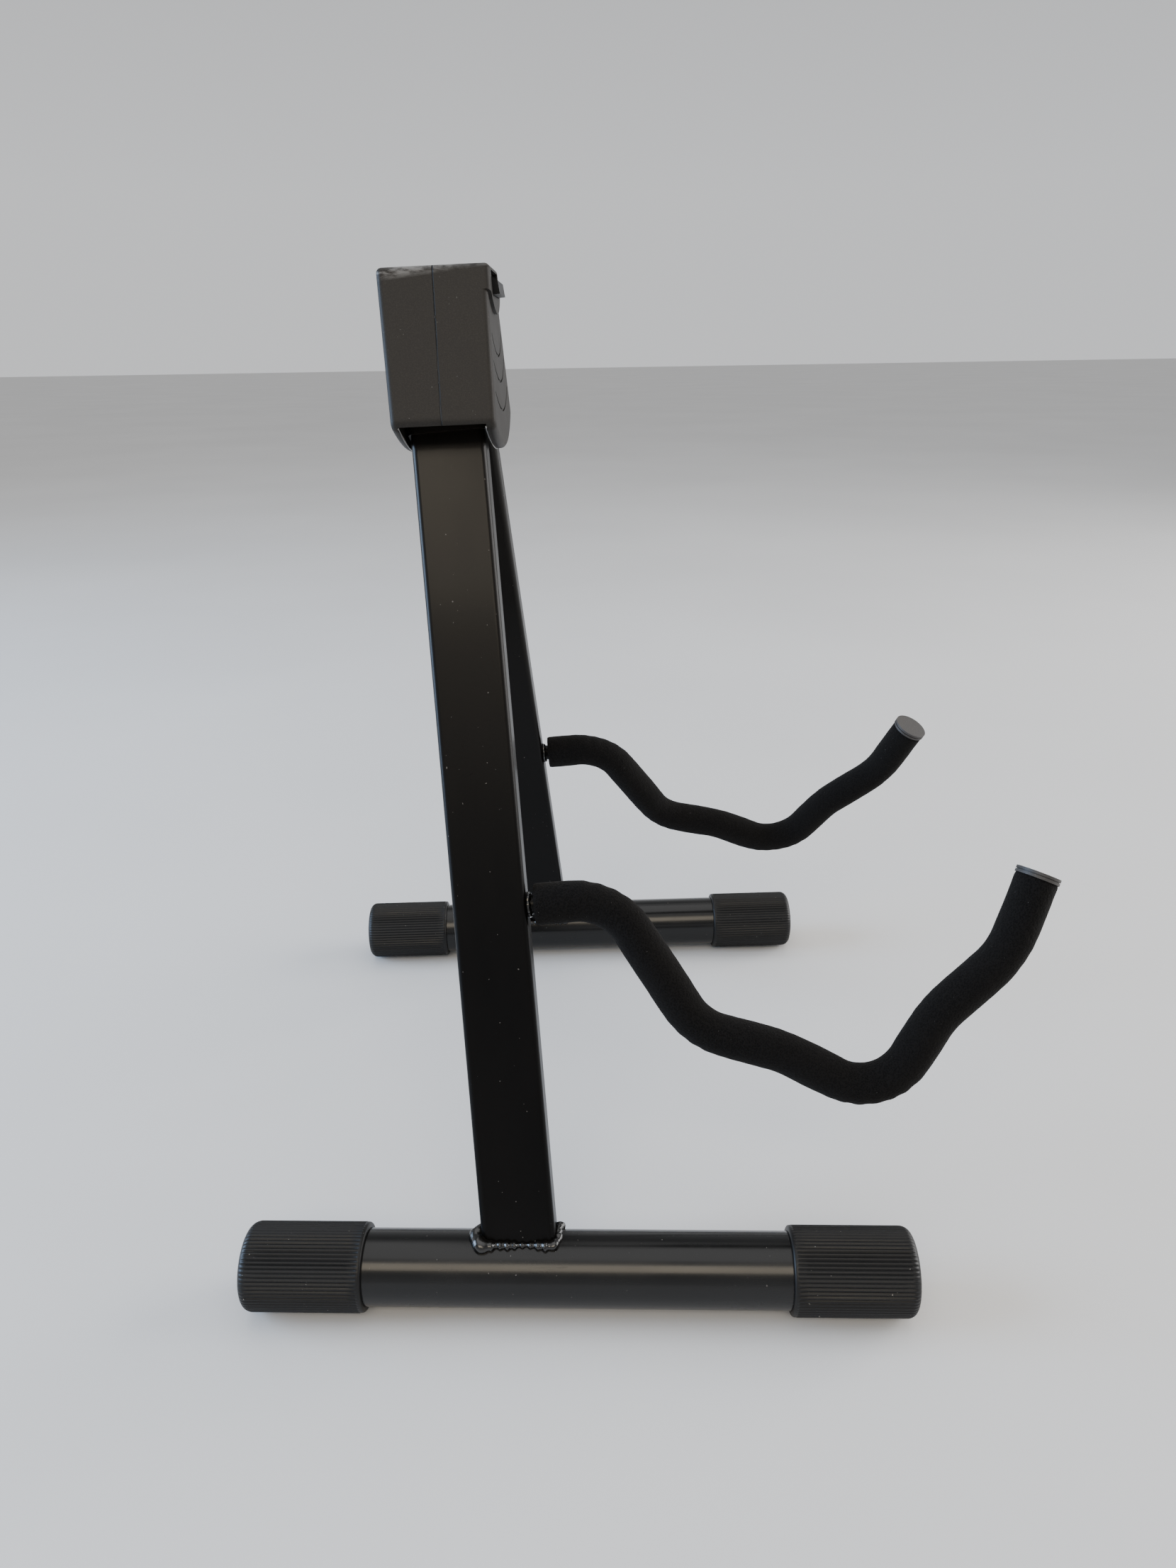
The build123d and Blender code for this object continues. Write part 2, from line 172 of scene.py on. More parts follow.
def foam_sleeve(side, name):
    """Foam tube on the arm: swells and thins a little, and creases inside the bends."""
    step, count, look = 0.0011, 72, 6
    thinning, thin_bend, tip_run = 0.035, 40, 0.02
    crease_pitch, crease_depth, crease_bend = 0.0052, 0.00038, 45
    lump_depth, pit_depth, most_swell = 0.00022, 0.00009, 0.0002
    end_depth, end_run, bore_depth, bore_gap = 0.0003, 0.0011, 0.003, 0.0001
    phase = random.Random(11 + side).uniform(0, 6)
    line = arm_line(leg_width / 2 + arm_gap, step)
    last = len(line) - 1
    lengths = [0.0]
    for p, q in zip(line, line[1:]):
        lengths.append(lengths[-1] + (q - p).length)
    total = lengths[-1]
    tangents = [(line[min(i + 1, last)] - line[max(i - 1, 0)]).normalized() for i in range(len(line))]
    bends = []
    for i in range(len(line)):
        a, b = max(i - look, 0), min(i + look, last)
        bends.append(tangents[b].cross(tangents[a]).x / max(lengths[b] - lengths[a], 1e-6))
    across = Vector((1, 0, 0))
    rings = []
    for p, t, along, bend in zip(line, tangents, lengths, bends):
        upward = across.cross(t).normalized()
        thin = thinning * min(abs(bend) / thin_bend, 1) * min(1.0, (total - along) / tip_run)
        end = max(0.0, 1 - min(along, total - along) / end_run)
        ring = []
        for c, s in circle(count):
            out = across * c + upward * s
            place = p + out * foam_d / 2
            inner = max(0.0, math.copysign(1, bend) * out.dot(upward)) * min(abs(bend) / crease_bend, 1)
            wander = phase + 1.5 * noise.noise(place * 60)
            crease = math.sin(along * 2 * math.pi / crease_pitch + wander) * 0.5 - 0.5
            radius = foam_d / 2 * (1 - thin)
            radius += crease * crease_depth * inner ** 1.6
            radius += lump_depth * noise.noise(place * 55 + Vector((side * 3, 0, 0)))
            radius += pit_depth * noise.noise(place * 260)
            radius -= end_depth * end ** 2
            ring.append(p + out * min(radius, foam_d / 2 + most_swell))
        rings.append(ring)
    bm = bmesh.new()
    loops = skin_rings(bm, rings, closed_ends=False)
    for loop, index, inward in ((loops[-1], last, -1), (loops[0], 0, 1)):
        upward = across.cross(tangents[index]).normalized()
        bore = [line[index] + (across * c + upward * s) * (rod_d / 2 + bore_gap) for c, s in circle(count)]
        lip = [bm.verts.new(p) for p in bore]
        deep = [bm.verts.new(p + tangents[index] * inward * bore_depth) for p in bore]
        for a, b in ((loop, lip), (lip, deep)):
            for k in range(count):
                j = (k + 1) % count
                bm.faces.new((a[k], a[j], b[j], b[k]))
        bm.faces.new(deep)
    obj = new_object(name + "_foam", bm, leg_frame(side), name + "_leg", foam_material, 60)
    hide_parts(name + "_foam_sleeve")


def foot_cap(side, name, end):
    """Rubber cap with fine lengthwise ribs between a plain lip and a rounded end."""
    ribs, per_rib, rib_depth = 64, 8, 0.00055
    radius, length, corner, skin = foot_cap_d / 2, foot_cap_length, 0.0040, 0.0001
    lip, plain = 0.0008, 0.0016
    ribs_start = plain + 0.0004
    ribbed = length - corner - ribs_start
    # distance from the open end, radius, share of the ribs' depth
    stations = [
        (0.0, foot_tube_d / 2 + 0.00005, 0), (0.0, radius - 0.0012, 0), (0.0003, radius - 0.0006, 0),
        (lip, radius - 0.0003, 0), (plain, radius - 0.00025, 0),
    ]
    for i in range(12):
        stations.append((ribs_start + ribbed * i / 12, radius - skin, 1))
    for i in range(9):
        a = math.pi / 2 * i / 8
        out = radius - corner + (corner - skin) * math.cos(a)
        stations.append((length - corner + corner * math.sin(a), out, max(0.0, 1 - i / 5)))
    for share in (0.72, 0.45, 0.2):
        stations.append((length - skin * share, (radius - corner) * share, 0))
    rng = random.Random((31 if end == 1 else 62) + side)
    worn = [rng.uniform(0.75, 1.0) for _ in range(ribs)]
    rings = []
    for z, r, ribbing in stations:
        ring = []
        for k, (c, s) in enumerate(circle(ribs * per_rib)):
            crest = 0.5 + 0.5 * math.cos((k % per_rib) / per_rib * 2 * math.pi)
            rib = worn[(k + per_rib // 2) // per_rib % ribs]
            out = r - rib_depth * ribbing * (1 - rib * crest ** 0.7)
            ring.append((out * c, out * s, z))
        rings.append(ring)
    bm = bmesh.new()
    loops = skin_rings(bm, rings, closed_ends=False)
    bm.faces.new(loops[-1])
    place = leg_frame(side) @ Matrix.Rotation(foot_tilt, 4, "X")
    place = place @ Matrix.Translation((0, -foot_forward, 0)) @ Matrix.Rotation(end * math.pi / 2, 4, "X")
    place = place @ Matrix.Translation((0, 0, foot_length / 2 - foot_cap_length))
    node = name + ("_front_foot_cap" if end == 1 else "_back_foot_cap")
    obj = new_object(node + "_ribbed", bm, place, name + "_leg", rubber_material, 55)
    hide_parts(node)


def foot_weld(side, name):
    """Lumpy bead round the leg where it sits on the foot tube, thickest at the back corner."""
    half_x, half_y, corner = leg_thickness / 2, leg_width / 2, leg_corner
    step, facets, ripple_pitch, blob_reach = 0.0005, 14, 0.0031, 0.005
    bead, ripple_size, lump_size, blob_size, grain = 0.0019, 0.0009, 0.0013, 0.0022, 0.00014
    outline = []
    for cx, cy, start in (
        (half_x - corner, half_y - corner, 0), (corner - half_x, half_y - corner, 90),
        (corner - half_x, corner - half_y, 180), (half_x - corner, corner - half_y, 270),
    ):
        for i in range(7):
            a = math.radians(start + 15 * i)
            outline.append((Vector((cx, cy)) + Vector((math.cos(a), math.sin(a))) * corner, a))
    dense = []
    for (p, a), (q, b) in zip(outline, outline[1:] + outline[:1]):
        n = max(1, math.ceil((q - p).length / step))
        turn = (b - a + math.pi) % (2 * math.pi) - math.pi
        dense += [(p.lerp(q, i / n), a + turn * i / n) for i in range(n)]
    seed, up = Vector((side * 7.3, 2.1, 0.4)), Vector((0, 0, 1))
    back_corner = Vector((side * half_x, half_y))
    rings = []
    travelled = 0.0
    for i, (p, a) in enumerate(dense):
        travelled += (p - dense[i - 1][0]).length if i else 0
        out = Vector((math.cos(a), math.sin(a), 0))
        wander = 2 * noise.noise(Vector((travelled * 90, 0, 0)) + seed)
        ripple = 0.5 + 0.5 * math.sin(travelled * 2 * math.pi / ripple_pitch + wander)
        lump = noise.noise(Vector((travelled * 140, 1, 0)) + seed)
        blob = math.exp(-((p - back_corner).length / blob_reach) ** 2)
        size = bead + ripple_size * ripple + lump_size * lump + blob_size * blob
        reach = math.sqrt(max((foot_tube_d / 2) ** 2 - (p.x + out.x * size * 0.5) ** 2, 1e-8))
        base = Vector((p.x, p.y, reach / math.cos(foot_tilt) + p.y * math.tan(foot_tilt)))
        ring = []
        for c, s in circle(facets):
            offset = (out * (0.35 + 0.8 * c) * 0.9 + up * (0.35 + 0.85 * s) * 0.75) * size
            q = base + offset
            ring.append(q + offset.normalized() * grain * noise.noise(q * 900 + seed))
        rings.append(ring)
    bm = bmesh.new()
    skin_rings(bm, rings, round_again=True)
    place = leg_frame(side)
    obj = new_object(name + "_foot_bead", bm, place, name + "_leg", weld_material, 75)
    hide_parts(name + "_foot_weld")


def arm_weld(side, name):
    """Small uneven bead round the rod at the leg."""
    facets, along, bead, uneven, ripple = 12, 56, 0.00115, 0.0003, 0.00012
    seed, ahead = Vector((side * 3.7, 9.2, 1.4)), Vector((0, -1, 0))
    rings = []
    for i in range(along):
        a = 2 * math.pi * i / along
        out = Vector((math.cos(a), 0, math.sin(a)))
        size = bead + uneven * noise.noise(out * 3 + seed) + ripple * math.sin(a * 11)
        base = Vector((0, -leg_width / 2, arm_root_height)) + out * rod_d / 2
        rings.append([
            base + (out * (0.35 + c) * 0.85 + ahead * (0.35 + s)) * size for c, s in circle(facets)
        ])
    bm = bmesh.new()
    skin_rings(bm, rings, round_again=True)
    obj = new_object(name + "_arm_bead", bm, leg_frame(side), name + "_leg", weld_material, 75)
    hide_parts(name + "_arm_weld")


def latch_coil():
    """The latch's spring, drawn at one length on the head."""
    forward, coil_r, wire_r, pitch, steps = 0.0085, 0.0029, 0.0004, 0.002, 220
    room_below, room_above, lift = 0.0009, 0.0006, 0.0021
    up, into_head = Vector((0, 0, 1)), head_frame.inverted()
    low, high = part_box("latch_spring")
    bottom = (into_head @ Vector((0, low.y, low.z))).z + room_below
    top = (into_head @ Vector((0, high.y, high.z))).z - room_above
    turns = (top - bottom) / pitch
    line = []
    for i in range(steps + 1):
        a = 2 * math.pi * turns * i / steps
        z = bottom + (top - bottom) * i / steps
        line.append(Vector((coil_r * math.cos(a), -forward + coil_r * math.sin(a), z)))
    bm = bmesh.new()
    skin_rings(bm, rings_along(line, up, lambda p: wire_r))
    obj = new_object("latch_coil", bm, head_frame, "head", zinc_material, 60)
    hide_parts("latch_spring")
    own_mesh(obj)


def half_width(height):
    """Half the head's width at a height over the pivots."""
    return head_top_half + (head_top - height) * math.tan(head_flare)


def bead_along(points, size, name, material):
    """A thin uneven ridge of moulding flash along a line of points, in the head's frame."""
    bm = bmesh.new()
    skin_rings(bm, rings_along(points, Vector((0, 1, 0)), size))
    new_object(name, bm, head_frame, "head", material, 60)


def seam_flash():
    """Flash standing out of the seam between the shells, with nicks, on both sides and the top."""
    sunk, steps_up, steps_over = 0.00008, 160, 60
    low_end, high_end, half_top = head_wall_end + 0.0018, head_top - 0.0030, head_top_half - 0.0016
    flush_above, flush, proud = 0.022, (0.00001, 0.0006), (0.00008, 0.0011)

    def seam_y(z):
        return -seam_forward - z * math.tan(seam_tilt)

    points = []
    for i in range(steps_up + 1):
        z = low_end + (high_end - low_end) * i / steps_up
        points.append(Vector((half_width(z) - sunk, seam_y(z), z)))
    for i in range(1, steps_over):
        points.append(Vector((half_top - 2 * half_top * i / steps_over, seam_y(head_top), head_top - sunk)))
    points += [Vector((-p.x, p.y, p.z)) for p in reversed(points[:steps_up + 1])]

    def size(p):
        swell = max(noise.noise(Vector((p.x * 40, 3.3, p.z * 210))), 0)
        nick = max(0.0, noise.noise(Vector((p.x * 90 + 5, 8.1, p.z * 620))) - 0.28)
        ridge, nick_size = flush if p.z > flush_above else proud
        return ridge + 0.00006 * swell + nick_size * nick
    bead_along(points, size, "seam_flash", flash_material)


def lobe_rim_highlight(y, corner_height, name):
    """Rim of flash along a lobe's inner edge, coloured bright as a painted highlight."""
    steps, inset, raised, rim, uneven = 120, 0.0012, 0.0001, 0.00034, 0.00008
    corner = half_width(corner_height) - inset
    sag = corner_height - head_lobe_end
    radius = (corner ** 2 + sag ** 2) / (2 * sag)
    reach = math.asin(corner / radius) * 0.985
    points = []
    for i in range(steps + 1):
        a = -reach + 2 * reach * i / steps
        z = head_lobe_end + radius - radius * math.cos(a) + raised
        points.append(Vector((radius * math.sin(a), y, z / math.cos(head_level) + y * math.tan(head_level))))

    def size(p):
        return rim + uneven * noise.noise(Vector((p.x * 130, y * 50, 1.7)))
    bead_along(points, size, name, rim_highlight_material)


# ---------------------------------------------------------------- materials
class Nodes:
    """Short names for building one procedural material."""

    def __init__(self, name):
        self.material = bpy.data.materials.new(name)
        self.material.use_nodes = True
        self.tree = self.material.node_tree
        self.shader = self.tree.nodes["Principled BSDF"]
        texture = self.add("ShaderNodeTexCoord")
        self.place, self.normal = texture.outputs["Object"], texture.outputs["Normal"]

    def add(self, kind, **settings):
        node = self.tree.nodes.new(kind)
        for key, value in settings.items():
            setattr(node, key, value)
        return node

    def link(self, out, into):
        self.tree.links.new(out, into)

    def noise(self, scale, detail, rough, place=None):
        node = self.add("ShaderNodeTexNoise")
        node.inputs["Scale"].default_value = scale
        node.inputs["Detail"].default_value = detail
        node.inputs["Roughness"].default_value = rough
        self.link(place or self.place, node.inputs["Vector"])
        return node.outputs["Fac"]

    def cells(self, scale):
        node = self.add("ShaderNodeTexVoronoi")
        node.inputs["Scale"].default_value = scale
        self.link(self.place, node.inputs["Vector"])
        return node.outputs["Distance"]

    def ramp(self, value, low, high, to_low=0.0, to_high=1.0):
        """value, with low..high spread over to_low..to_high and held at the ends."""
        node = self.add("ShaderNodeMapRange")
        for key, number in (("From Min", low), ("From Max", high), ("To Min", to_low), ("To Max", to_high)):
            node.inputs[key].default_value = number
        self.link(value, node.inputs["Value"])
        return node.outputs["Result"]

    def math(self, operation, a, b):
        node = self.add("ShaderNodeMath", operation=operation)
        for socket, value in zip(node.inputs, (a, b)):
            if isinstance(value, (int, float)):
                socket.default_value = value
            else:
                self.link(value, socket)
        return node.outputs["Value"]

    def mix(self, share, a, b):
        """Colour a where share is 0, b where it is 1."""
        node = self.add("ShaderNodeMix", data_type="RGBA")
        self.link(share, node.inputs["Factor"])
        for socket, value in ((node.inputs["A"], a), (node.inputs["B"], b)):
            if isinstance(value, tuple):
                socket.default_value = (*value, 1)
            else:
                self.link(value, socket)
        return node.outputs["Result"]

    def stretched(self, scale):
        """The place with its axes scaled: a low number draws a pattern out along that axis."""
        node = self.add("ShaderNodeMapping")
        node.inputs["Scale"].default_value = scale
        self.link(self.place, node.inputs["Vector"])
        return node.outputs["Vector"]

    def height(self, *layers):
        """Bump from (height, millimetres deep) layers, one on the other."""
        normal = None
        for value, depth in layers:
            bump = self.add("ShaderNodeBump")
            bump.inputs["Strength"].default_value = 1.0
            bump.inputs["Distance"].default_value = depth / 1000
            self.link(value, bump.inputs["Height"])
            if normal is not None:
                self.link(normal, bump.inputs["Normal"])
            normal = bump.outputs["Normal"]
        self.link(normal, self.shader.inputs["Normal"])

    def along(self, vector, direction):
        """How far a place or a normal goes along a direction."""
        node = self.add("ShaderNodeVectorMath", operation="DOT_PRODUCT")
        self.link(vector, node.inputs[0])
        node.inputs[1].default_value = direction
        return node.outputs["Value"]

    def set(self, **values):
        """Sets or links the shader's sockets, with _ for a space in their names."""
        for key, value in values.items():
            socket = self.shader.inputs[key.replace("_", " ")]
            if isinstance(value, (int, float)):
                socket.default_value = value
            else:
                self.link(value, socket)


def head_plastic():
    """Grained moulding, with scuffs and a painted highlight on the rim of its top, and painted shade in the
    seam gap.
    """
    n = Nodes("head_plastic")
    grain, fine, cloud = n.noise(5200, 2, 0.6), n.noise(1900, 3, 0.6), n.noise(38, 4, 0.6)
    speck = n.ramp(n.noise(900, 1, 0.4), 0.79, 0.81)
    base = n.mix(n.ramp(cloud, 0.35, 0.68), (0.0085, 0.0070, 0.0056), (0.0135, 0.0114, 0.0093))
    base = n.mix(n.ramp(fine, 0.45, 0.75, 0, 0.5), base, (0.026, 0.0225, 0.0185))
    base = n.mix(speck, base, (0.10, 0.095, 0.088))
    # Partly real scuffing and partly a painted highlight: the rounded rim of the top is made lighter and
    # less rough.
    top_out = Matrix.Rotation(-lean - head_level, 3, "X") @ Vector((0, 0, 1))
    top_at = (head_frame @ Vector((0, 0, head_top))).dot(top_out)
    edge = n.ramp(n.along(n.place, top_out), top_at - 0.0034, top_at - 0.0008)
    rim = n.ramp(n.along(n.normal, top_out), 0.975, 0.992, 1, 0.1)
    scuffs_and_highlight = n.ramp(n.noise(300, 5, 0.7, n.stretched((1, 0.35, 1.4))), 0.40, 0.58)
    worn = n.math("MULTIPLY", n.math("MULTIPLY", edge, rim), scuffs_and_highlight)
    base = n.mix(n.math("MULTIPLY", worn, 0.8), base, (0.17, 0.165, 0.16))
    rough = n.ramp(cloud, 0.3, 0.7, 0.50, 0.60)
    rough = n.math("SUBTRACT", rough, n.math("MULTIPLY", worn, 0.24))
    # Painted shade: the narrow gap along the seam between the shells is coloured near-black, as well as
    # getting a bump groove.
    across = (head_frame.to_3x3() @ Vector((0, 1, math.tan(seam_tilt)))).normalized()
    seam_at = (head_frame @ Vector((0, -seam_forward, 0))).dot(across)
    off = n.math("ABSOLUTE", n.math("SUBTRACT", n.along(n.place, across), seam_at), 0)
    gap = n.ramp(off, 0.00014, 0.00034, 1, 0)
    base = n.mix(gap, base, (0.0008, 0.0008, 0.0008))
    n.set(Base_Color=base, Roughness=rough, Specular_IOR_Level=0.24)
    n.height((fine, 0.028), (grain, 0.013), (gap, -0.25))
    return n.material


def smooth_plastic(name, colour, rough, worn_colour):
    """Fine plastic with faint drag lines."""
    n = Nodes(name)
    cloud = n.noise(60, 4, 0.6)
    lines = n.noise(420, 4, 0.6, n.stretched((1, 0.12, 1)))
    base = n.mix(n.ramp(cloud, 0.35, 0.7), colour, worn_colour)
    rough = n.ramp(lines, 0.3, 0.7, rough - 0.06, rough + 0.08)
    n.set(Base_Color=base, Roughness=rough, Specular_IOR_Level=0.22)
    n.height((n.noise(2400, 2, 0.5), 0.006), (lines, 0.004))
    return n.material


def disc_plastic():
    """Greyer plastic with a film of dust."""
    n = Nodes("disc_plastic")
    cloud = n.noise(140, 5, 0.65)
    dust = n.ramp(n.noise(1500, 3, 0.6), 0.5, 0.72)
    base = n.mix(n.ramp(cloud, 0.3, 0.7), (0.020, 0.018, 0.017), (0.034, 0.031, 0.029))
    base = n.mix(n.math("MULTIPLY", dust, 0.5), base, (0.062, 0.057, 0.052))
    n.set(Base_Color=base, Roughness=n.ramp(cloud, 0.3, 0.7, 0.5, 0.64))
    n.height((n.noise(2600, 2, 0.5), 0.012))
    return n.material


def powder_coat():
    """The legs' paint: orange peel, flecks and scratches, dusty towards the top, and painted lighter there
    as painted light.
    """
    n = Nodes("powder_coat")
    peel = n.noise(620, 2, 0.5)
    micro = n.noise(3600, 2, 0.5)
    cloud = n.noise(22, 4, 0.6, n.stretched((1, 1, 0.25)))
    dust = n.ramp(n.noise(2300, 2, 0.6), 0.60, 0.80)
    fleck = n.ramp(n.noise(760, 1, 0.3), 0.80, 0.82)
    # Painted light: up lightens and browns the paint towards the top of the leg, where it catches the room
    # light; it also gathers the dust there and raises the specular level.
    up = n.ramp(n.along(n.place, (0, 0, 1)), 0.13, 0.33)
    base = n.mix(n.ramp(cloud, 0.3, 0.7), (0.0008, 0.0007, 0.0008), (0.0020, 0.0016, 0.0014))
    base = n.mix(up, base, (0.0046, 0.0035, 0.0024))
    base = n.mix(n.math("MULTIPLY", n.math("MULTIPLY", dust, 0.30), up), base, (0.018, 0.014, 0.010))
    base = n.mix(n.math("MULTIPLY", fleck, 0.7), base, (0.14, 0.13, 0.12))
    scratch = n.ramp(n.noise(900, 5, 0.7, n.stretched((0.08, 1, 0.3))), 0.66, 0.70)
    rough = n.ramp(cloud, 0.3, 0.7, 0.32, 0.42)
    rough = n.math("ADD", rough, n.math("MULTIPLY", dust, 0.1))
    rough = n.math("SUBTRACT", rough, n.math("MULTIPLY", scratch, 0.1))
    n.set(Base_Color=base, Roughness=rough, Specular_IOR_Level=n.ramp(up, 0, 1, 0.07, 0.15))
    n.set(Coat_Weight=0.08, Coat_Roughness=0.12)
    n.height((peel, 0.008), (micro, 0.003))
    return n.material


def tube_coat():
    """The feet's glossier black paint."""
    n = Nodes("tube_coat")
    peel = n.noise(520, 2, 0.5)
    cloud = n.noise(26, 4, 0.6)
    fleck = n.ramp(n.noise(820, 1, 0.3), 0.80, 0.82)
    streak = n.ramp(n.noise(330, 5, 0.7, n.stretched((1, 0.1, 1))), 0.58, 0.72)
    base = n.mix(n.ramp(cloud, 0.3, 0.7), (0.0012, 0.0012, 0.0013), (0.0024, 0.0023, 0.0022))
    base = n.mix(n.math("MULTIPLY", fleck, 0.6), base, (0.15, 0.14, 0.13))
    rough = n.ramp(cloud, 0.3, 0.7, 0.20, 0.28)
    rough = n.math("ADD", rough, n.math("MULTIPLY", streak, 0.10))
    n.set(Base_Color=base, Roughness=rough)
    n.set(Specular_IOR_Level=0.32, Coat_Weight=0.14, Coat_Roughness=0.16)
    n.height((peel, 0.006))
    return n.material


def weld_paint():
    """Glossy paint over lumpy weld."""
    n = Nodes("weld_paint")
    lumps = n.noise(520, 4, 0.6)
    base = n.mix(n.ramp(lumps, 0.35, 0.7), (0.0016, 0.0015, 0.0014), (0.0044, 0.0038, 0.0031))
    n.set(Base_Color=base, Roughness=n.ramp(lumps, 0.3, 0.7, 0.12, 0.24))
    n.set(Specular_IOR_Level=0.45, Coat_Weight=0.35, Coat_Roughness=0.08)
    n.height((lumps, 0.12), (n.noise(1500, 2, 0.5), 0.03))
    return n.material


def ribbed_rubber():
    """Dull rubber with dust and lint."""
    n = Nodes("ribbed_rubber")
    cloud = n.noise(70, 4, 0.6)
    dust = n.ramp(n.noise(1700, 3, 0.65), 0.48, 0.75)
    lint = n.ramp(n.noise(1100, 1, 0.3), 0.80, 0.82)
    base = n.mix(n.ramp(cloud, 0.3, 0.7), (0.0018, 0.0017, 0.0018), (0.0038, 0.0035, 0.0034))
    base = n.mix(n.math("MULTIPLY", dust, 0.3), base, (0.013, 0.012, 0.011))
    base = n.mix(lint, base, (0.20, 0.19, 0.17))
    n.set(Base_Color=base, Roughness=n.ramp(cloud, 0.3, 0.7, 0.38, 0.50))
    n.set(Specular_IOR_Level=0.30)
    n.height((n.noise(2300, 3, 0.6), 0.018))
    return n.material


def open_cell_foam():
    """Soft black foam with open cells."""
    n = Nodes("open_cell_foam")
    cells = n.cells(1500)
    bigger = n.cells(640)
    cloud = n.noise(60, 5, 0.65)
    fuzz = n.noise(3800, 3, 0.6)
    base = n.mix(n.ramp(cells, 0.15, 0.65), (0.0010, 0.0010, 0.0011), (0.0062, 0.0058, 0.0058))
    base = n.mix(n.ramp(cloud, 0.35, 0.75, 0, 0.45), base, (0.0064, 0.0058, 0.0055))
    lint = n.ramp(n.noise(1300, 1, 0.3), 0.81, 0.83)
    base = n.mix(n.math("MULTIPLY", lint, 0.6), base, (0.12, 0.12, 0.12))
    n.set(Base_Color=base, Roughness=n.ramp(cells, 0.1, 0.7, 0.88, 0.98))
    n.set(Specular_IOR_Level=0.05, Sheen_Weight=0.025, Sheen_Roughness=0.6)
    n.height((cloud, 0.25), (bigger, 0.14), (cells, 0.16), (fuzz, 0.03))
    return n.material


def zinc():
    """Plated steel with a drawn grain."""
    n = Nodes("zinc")
    grain = n.noise(700, 4, 0.6, n.stretched((1, 0.15, 1)))
    blotch = n.noise(160, 4, 0.6)
    base = n.mix(n.ramp(blotch, 0.3, 0.7), (0.46, 0.46, 0.45), (0.62, 0.62, 0.60))
    n.set(Base_Color=base, Roughness=n.ramp(grain, 0.3, 0.7, 0.24, 0.40))
    n.set(Metallic=1.0)
    n.height((grain, 0.006), (n.noise(2400, 2, 0.5), 0.003))
    return n.material


def floor_paint():
    """Plain pale floor with a faint cloud."""
    n = Nodes("floor_paint")
    cloud = n.noise(1.6, 4, 0.55)
    fine = n.noise(420, 3, 0.6)
    base = n.mix(n.ramp(cloud, 0.3, 0.7), (0.60, 0.595, 0.59), (0.64, 0.635, 0.63))
    n.set(Base_Color=base, Roughness=n.ramp(fine, 0.3, 0.7, 0.80, 0.9))
    n.height((fine, 0.05))
    return n.material


head_material = head_plastic()
latch_material = smooth_plastic("latch_plastic", (0.0016, 0.0014, 0.0016), 0.46, (0.0042, 0.0036, 0.0036))
# Painted light: the collars' black plastic gets the lit brown of the legs' upper paint, to lift the shade
# under the head's side walls.
collar_painted_light_material = smooth_plastic("collar_plastic_painted_light", (0.0060, 0.0047, 0.0034), 0.42, (0.0090, 0.0070, 0.0050))
flash_material = smooth_plastic("flash_plastic", (0.022, 0.020, 0.018), 0.40, (0.05, 0.047, 0.043))
# Painted highlight: the lobe rims are coloured light grey to stand for their edges catching the light.
rim_highlight_material = smooth_plastic("rim_painted_highlight", (0.16, 0.155, 0.15), 0.3, (0.24, 0.235, 0.23))
disc_material = disc_plastic()
paint_material = powder_coat()
tube_material = tube_coat()
weld_material = weld_paint()
rubber_material = ribbed_rubber()
foam_material = open_cell_foam()
zinc_material = zinc()


def dress(node, material):
    """Gives a CAD node its detailed material."""
    mesh = frame["nodes"][node].data
    mesh.materials.clear()
    mesh.materials.append(material)


# ---------------------------------------------------------------- stage
camera_place = Vector((-0.4849, 0.02172, 0.3661))
camera_down, camera_turn, camera_roll = math.radians(21.65), math.radians(-0.16), math.radians(-0.92)
camera_lens, camera_sensor = 24.94, 36
floor_half = 30
sky_colour, sky_low, sky_high = (0.86, 0.87, 0.89), 0.86, 0.30
# name, place, target, size, watts, colour
area_lights = [
    ("front_window", (0.4, -2.2, 0.85), (0, 0, 0.2), (1.7, 1.5), 58, (1.0, 0.985, 0.97)),
    ("back_window", (-0.1, 2.0, 0.75), (0, 0.05, 0.25), (1.2, 1.3), 66, (0.50, 0.70, 1.0)),
    ("room", (-1.95, 0.1, 1.85), (0, 0, 0.3), (2.0, 0.9), 30, (1.0, 0.88, 0.70)),
    ("ceiling", (0.1, 0.0, 2.6), (0.1, 0.001, 0), (2.6, 2.6), 18, (1.0, 0.99, 0.98)),
]


def aimed(name, data, place, right, up, ahead):
    """A camera or light at a place, looking ahead."""
    obj = bpy.data.objects.new(name, data)
    bpy.context.scene.collection.objects.link(obj)
    obj.matrix_world = Matrix.Translation(place) @ Matrix((right, up, -ahead)).transposed().to_4x4()
    return obj


def make_camera():
    """Camera at the stand's left, a little above the head, looking along +X and down."""
    down, turn, roll = camera_down, camera_turn, camera_roll
    ahead = Vector((math.cos(down) * math.cos(turn), -math.cos(down) * math.sin(turn), -math.sin(down)))
    right = Vector((-math.sin(turn), -math.cos(turn), 0))
    up = right.cross(ahead)
    data = bpy.data.cameras.new("camera")
    data.lens = camera_lens
    data.sensor_width = camera_sensor
    rolled_right = math.cos(roll) * right + math.sin(roll) * up
    rolled_up = -math.sin(roll) * right + math.cos(roll) * up
    bpy.context.scene.camera = aimed("camera", data, camera_place, rolled_right, rolled_up, ahead)


def foot_marker(side, name):
    """An empty on a foot's axis, which goes with its leg."""
    marker = bpy.data.objects.new(name + "_foot_axis", None)
    marker.location = leg_frame(side).translation
    bpy.context.scene.collection.objects.link(marker)
    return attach(marker, name + "_leg")


